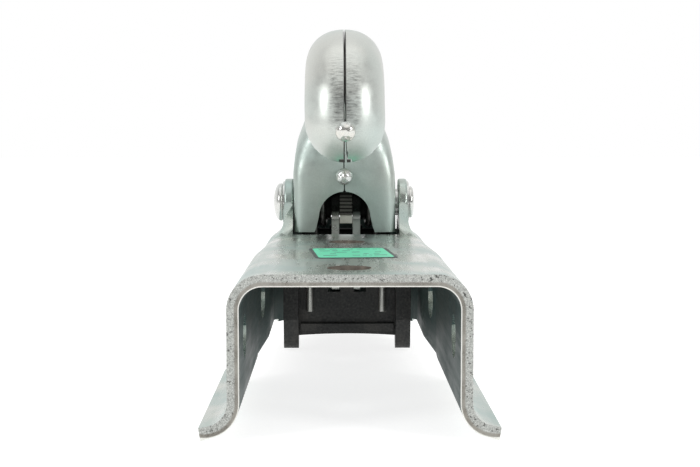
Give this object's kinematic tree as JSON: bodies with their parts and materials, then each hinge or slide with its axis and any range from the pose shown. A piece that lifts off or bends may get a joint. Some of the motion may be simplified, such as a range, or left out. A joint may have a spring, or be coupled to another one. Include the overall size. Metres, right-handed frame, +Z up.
{
  "type": "ball coupling head",
  "caption": "Zinc-plated pressed-steel trailer coupling head for a 50 mm ball and a square drawbar, with a lift-up handle and a swinging jaw.",
  "frame": {"origin": "centre of the 50 mm tow ball when coupled", "axes": "+X to the right seen from the drawbar end, +Y forwards to the towing vehicle, +Z up"},
  "size_m": [0.0976, 0.2385, 0.1369],
  "materials": {
    "zinc_sheet": "zinc plated pressed sheet, satin with faint iridescent tints",
    "zinc_handle": "zinc plated pressed shell, satin bright with soft highlights",
    "zinc_inner": "zinc plated stamping, satin",
    "zinc_bright": "bright zinc on turned pins",
    "zinc_wire": "zinc plated spring wire",
    "spring_steel": "oiled spring steel",
    "weld": "plated weld blob, bright with small craters",
    "phosphated": "dark phosphated forging, matt",
    "label": null
  },
  "bodies": {
    "frame": {"coupler_body": "zinc_sheet", "rating_label": "label", "pivot_pin": "zinc_bright", "pivot_washer_left": "zinc_bright", "pivot_washer_right": "zinc_bright", "pivot_bushes": "spring_steel"},
    "handle": {"handle_left_shell": "zinc_handle", "handle_right_shell": "zinc_handle", "handle_weld_beads": "weld", "cam_plate_left": "zinc_inner", "cam_plate_right": "zinc_inner", "cam_rivets": "zinc_bright", "catch_pin": "zinc_bright", "catch_clips": "spring_steel", "catch_spring": "spring_steel"},
    "catch": {"safety_catch": "zinc_inner"},
    "jaw": {"ball_jaw": "phosphated", "jaw_hanger_left": "zinc_inner", "jaw_hanger_right": "zinc_inner", "jaw_rivets": "zinc_bright", "follower_pin": "zinc_bright", "follower_clips": "spring_steel", "main_spring": "zinc_wire"}
  },
  "joints": [
    {"name": "handle_lift", "type": "hinge", "parent": "frame", "child": "handle", "pos_m": [0, -0.03, 0.0434], "axis": [-1, 0, 0], "range_deg": [0, 55]},
    {"name": "jaw_swing", "type": "hinge", "parent": "frame", "child": "jaw", "pos_m": [0, -0.03, 0.0434], "axis": [-1, 0, 0], "range_deg": [0, 11]},
    {"name": "catch_release", "type": "hinge", "parent": "handle", "child": "catch", "pos_m": [0, -0.0385, 0.062], "axis": [-1, 0, 0], "range_deg": [0, 10], "stiffness_Nm_per_rad": 0.3}
  ],
  "couplings": [
    {"joint": "jaw_swing", "follows": "handle_lift", "ratio": 0.2}
  ]
}
